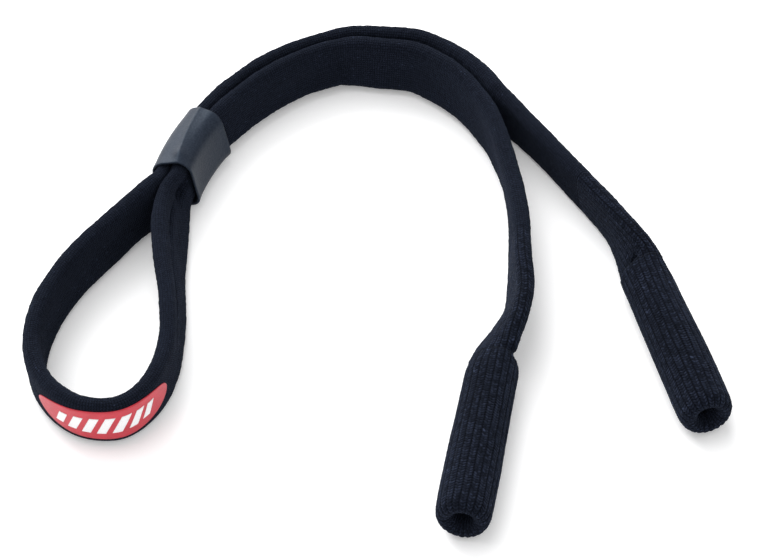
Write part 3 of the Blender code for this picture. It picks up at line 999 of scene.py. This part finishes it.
def slider_ring(place, inset):
    """Points round the slider at a place along its arc, on its outside or inset from that."""
    # near is 0 at the slider's end on the arch's side and 1 at its end on the loop's side
    near = 0.5 + place / SLIDER_LENGTH
    rim = np.exp(-((SLIDER_LENGTH / 2 - abs(place)) / 2.0) ** 2)
    swell = SLIDER_RIM * rim * (1 - inset / SLIDER_WALL)
    radii = np.array(SLIDER_CORNERS) + np.array(SLIDER_CORNER_CHANGE) * near - inset + swell
    points = slider_section(
        SLIDER_WIDTH + SLIDER_WIDTH_CHANGE * near - 2 * inset + 2 * swell,
        SLIDER_HEIGHT + SLIDER_HEIGHT_CHANGE * near - 2 * inset + 2 * swell,
        radii, SLIDER_COLUMNS,
    )
    points = np.column_stack([softened(column, 15, "wrap") for column in points.T])

    # the ridge wanders over the top and ends in a mound, with a hollow on its inner side, and
    # the outer shoulder falls away from it
    ridge = 0.4 - 2.8 * near
    aside = points[:, 0] - ridge
    fading = 1 - 0.8 * smoothstep(place, SLIDER_LENGTH / 2 - 6.5, SLIDER_LENGTH / 2 - 2.5)
    mound = np.exp(-((place - SLIDER_LENGTH / 2 + 3.4) / 2.2) ** 2)
    crest = SLIDER_RIDGE * fading * np.exp(-np.abs(aside) / 1.2)
    crest += SLIDER_MOUND * mound * np.exp(-((aside + 0.3) / 1.9) ** 2)
    fall = 0.12 * np.maximum(0.0, aside)
    hollow = SLIDER_HOLLOW * np.exp(-((aside + 2.2) / 1.4) ** 2)
    upper = smoothstep(points[:, 1], 0.0, 5.0)
    points[:, 1] += (crest - fall - hollow) * upper

    # the section's middle rises a little towards the loop's end and moves outwards
    turn = math.radians(SLIDER_ANGLE) + place / TRAVEL_RADIUS
    outwards = np.array([math.cos(turn), math.sin(turn), 0.0])
    tilt = math.radians(SLIDER_TILT + SLIDER_TILT_CHANGE * near)
    across, rise = leaning(outwards, tilt)
    spot = travel_centre() + TRAVEL_RADIUS * outwards
    spot = spot + UP * (slider_middle() - 0.3 + 0.3 * near) + across * (0.6 * near - 0.2)
    return spot + across * points[:, :1] + rise * points[:, 1:]


def make_slider(material):
    """The rubber keeper: a soft tube along its arc, twisted a little, with a rounded ridge."""
    lip = SLIDER_WALL / 2
    straight = SLIDER_LENGTH / 2 - lip
    bends = np.linspace(0, math.pi, 11)[1:-1]
    path = [(place, 0.0) for place in np.linspace(-straight, straight, SLIDER_ROWS)]
    path += [(straight + lip * math.sin(b), lip - lip * math.cos(b)) for b in bends]
    path += [(place, SLIDER_WALL) for place in np.linspace(straight, -straight, SLIDER_ROWS)]
    path += [(-straight - lip * math.sin(b), lip + lip * math.cos(b)) for b in bends]
    grid = np.array([slider_ring(place, inset) for place, inset in path])
    u = np.arange(grid.shape[1] + 1) / 4
    v = np.arange(grid.shape[0] + 1) / 4
    piece = tube("slider_keeper", grid, u, v, material, closed=True)
    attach(finish_piece(piece, "slider_rubber", "slider"), "slider")


def label_point(loop, middle, along, high, lift):
    """A point on the loop's outer face: along and up from the label's middle, and outwards."""
    at = middle + along
    half = np.interp(at, loop.length, loop.half_thickness)
    straight = np.interp(at, loop.length, loop.half_height) - half
    over = np.maximum(0.0, np.abs(high) - straight) / half
    out = (half + lift) * np.cos(over)
    rise = np.sign(high) * (np.minimum(np.abs(high), straight) + (half + lift) * np.sin(over))
    spot, across, up = (
        sampled(at, loop.length, values) for values in (loop.middle, loop.across, loop.up)
    )
    return spot - across * out[..., None] + up * rise[..., None]


def patch(name, loop, middle, along, half, material):
    """A thin closed sheet on the loop's face, with a half height at each length along it."""
    part = np.linspace(0, 1, 24)
    low, high = LABEL_RAISE - half, LABEL_RAISE + half
    grid = []
    for height, order in ((LABEL_LIFT + LABEL_THICKNESS, 1), (LABEL_LIFT, -1)):
        spread = low[:, None] + (high - low)[:, None] * part[None, ::order]
        grid.append(label_point(loop, middle, along[:, None] + 0 * spread, spread, height))
    grid = np.concatenate(grid, axis=1)
    u = np.arange(grid.shape[1] + 1) / 2
    return tube(name, grid, u, along, material)


def make_bar(bar, loop, middle, ink):
    """One slanted bar of ink on the label. The bars get shorter towards the label's ends."""
    place = (bar - (BARS - 1) / 2) * BAR_PITCH
    tall = BAR_HEIGHT * (1 - BAR_SHORTENING * (place / LABEL_LENGTH * 2) ** 2) / 2
    up = np.linspace(-tall, tall, 16)
    side = np.linspace(-BAR_WIDTH, BAR_WIDTH, 8) / 2
    top, under = (
        label_point(
            loop, middle, place + side[None, ::order] + BAR_SLANT * up[:, None],
            LABEL_RAISE + up[:, None] + 0 * side[None, :], LABEL_LIFT + LABEL_THICKNESS + lift,
        )
        for lift, order in ((INK_RAISE, 1), (-INK_DEPTH, -1))
    )
    grid = np.concatenate([top, under], axis=1)[:, ::-1]
    return tube(f"bar_{bar}", grid, np.arange(grid.shape[1] + 1) / 2, up, ink)


def make_label(loop, film, ink):
    """The red film, and on it a plain row of slanted white bars."""
    middle = loop.length[-1] * LABEL_PLACE
    along = np.sin(np.linspace(-math.pi / 2, math.pi / 2, 160)) * LABEL_LENGTH / 2
    oval = 1 - np.abs(2 * along / LABEL_LENGTH) ** LABEL_SQUARENESS
    half = np.maximum(oval, 0.0) ** 0.5 * LABEL_HEIGHT / 2
    piece = patch("label_film", loop, middle, along, np.maximum(half, 0.05), film)
    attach(finish_piece(piece, "label_film", "label"), "strap")
    piece = joined("label_bars", [make_bar(bar, loop, middle, ink) for bar in range(BARS)])
    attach(finish_piece(piece, "label_ink", "label_print"), "strap")


def joined(name, pieces):
    """Several meshes as one piece."""
    with bpy.context.temp_override(
        active_object=pieces[0], selected_editable_objects=pieces
    ):
        bpy.ops.object.join()
    pieces[0].name = name
    pieces[0].data.name = name
    return pieces[0]


def blend_at(piece, strand, bend):
    """Bake a piece's placement into its mesh. The strand's middle is found at the two lengths of
    bend, but not used.
    """
    start, end = (strand.cut(at, at + 0.2).middle[0] * MM for at in bend)
    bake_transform(piece)


def make_strand(name, settings, pair, knit, rib_knit, thread):
    """One strand of the strap with its arm, neck, sleeve and sewing."""
    route = np.vstack([beside(pair, settings["side"]), np.array(settings["arm"], float)])
    strand = Strap(smooth_route(route, ROW_STEP))
    stretch = strand.cut(0, settings["join"])
    piece = make_strap_piece(
        f"{name}_strap_knit", stretch, settings["seed"], knit, settings["dents"]
    )
    finish_piece(piece, "knit", f"{name}_strand", f"{name}_arm_root", f"{name}_arm")
    blend_at(piece, strand, settings["root"])
    neck, sleeve, rings = make_end(name, strand, settings, rib_knit)
    finish_piece(neck, "knit", f"{name}_neck", f"{name}_tail")
    blend_at(neck, strand, settings["neck"])
    finish_piece(sleeve, "rib_knit", f"{name}_sleeve", f"{name}_cuff")
    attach(sleeve, f"{name}_sleeve")
    start, end = (np.array([x, y, 0.0]) for x, y in settings["sleeve"])
    axis = (end - start) / np.linalg.norm(end - start)
    for node, ring in zip((f"{name}_neck_seam", f"{name}_cuff_hem"), rings):
        piece = sewn_ring(node + "_thread", ring, axis, thread)
        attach(finish_piece(piece, "thread", node), f"{name}_sleeve")


def main():
    """Make every piece of the strap."""
    knit = knit_material("knit", 0.22, 1.0, KNIT_GAP_SHADE, KNIT_TOP)
    rib_knit = knit_material("rib_knit", 0.24, 0.0, RIB_GAP_SHADE, RIB_TOP)
    thread = thread_material()
    rubber = rubber_material()
    film = film_material()
    ink = ink_material()

    loop = loop_strap()
    calm = loop.length[-1] * LABEL_PLACE
    piece = make_strap_piece("strap_loop_knit", loop, LOOP_SEED, knit, LOOP_DENTS, calm)
    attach(finish_piece(piece, "knit", "strap_loop"), "strap")

    pair = smooth_route(travel_route() + ARCH_END, ROUTE_STEP)
    for name, settings in ENDS.items():
        make_strand(name, settings, pair, knit, rib_knit, thread)
    make_slider(rubber)
    make_label(loop, film, ink)


def make_stage():
    """A plain pale floor, soft light all round, and a camera above the strap's front."""
    scene = bpy.context.scene
    scene.view_settings.view_transform = "Standard"
    bpy.ops.mesh.primitive_plane_add(size=8.0)
    floor = bpy.context.object
    floor.name = "floor"
    shader = Shader("floor", FLOOR_COLOUR, 0.9)
    shader.give("Emission Color", (1.0, 1.0, 1.0, 1.0))
    shader.give("Emission Strength", FLOOR_GLOW)
    floor.data.materials.append(shader.material)

    world = bpy.data.worlds.new("studio")
    world.use_nodes = True
    background = world.node_tree.nodes["Background"]
    background.inputs["Color"].default_value = (1.0, 1.0, 1.0, 1.0)
    background.inputs["Strength"].default_value = STUDIO_LIGHT
    scene.world = world

    for name, kind, strength, size, place in LIGHTS:
        lamp = bpy.data.lights.new(name, kind)
        lamp.energy = strength
        if kind == "SUN":
            lamp.angle = math.radians(size)
        else:
            lamp.size = size
        light = bpy.data.objects.new(name, lamp)
        light.location = place
        light.rotation_euler = (-Vector(place)).to_track_quat("-Z", "Y").to_euler()
        scene.collection.objects.link(light)

    lens = bpy.data.cameras.new("camera")
    lens.lens = CAMERA_LENS
    camera = bpy.data.objects.new("camera", lens)
    elevation = math.radians(CAMERA_ELEVATION)
    away = Vector((0, -math.cos(elevation), math.sin(elevation)))
    camera.location = (Vector(CAMERA_AIM) + away * CAMERA_DISTANCE) * MM
    camera.rotation_euler = (-away).to_track_quat("-Z", "Y").to_euler()
    scene.collection.objects.link(camera)
    scene.camera = camera


make_stage()
main()
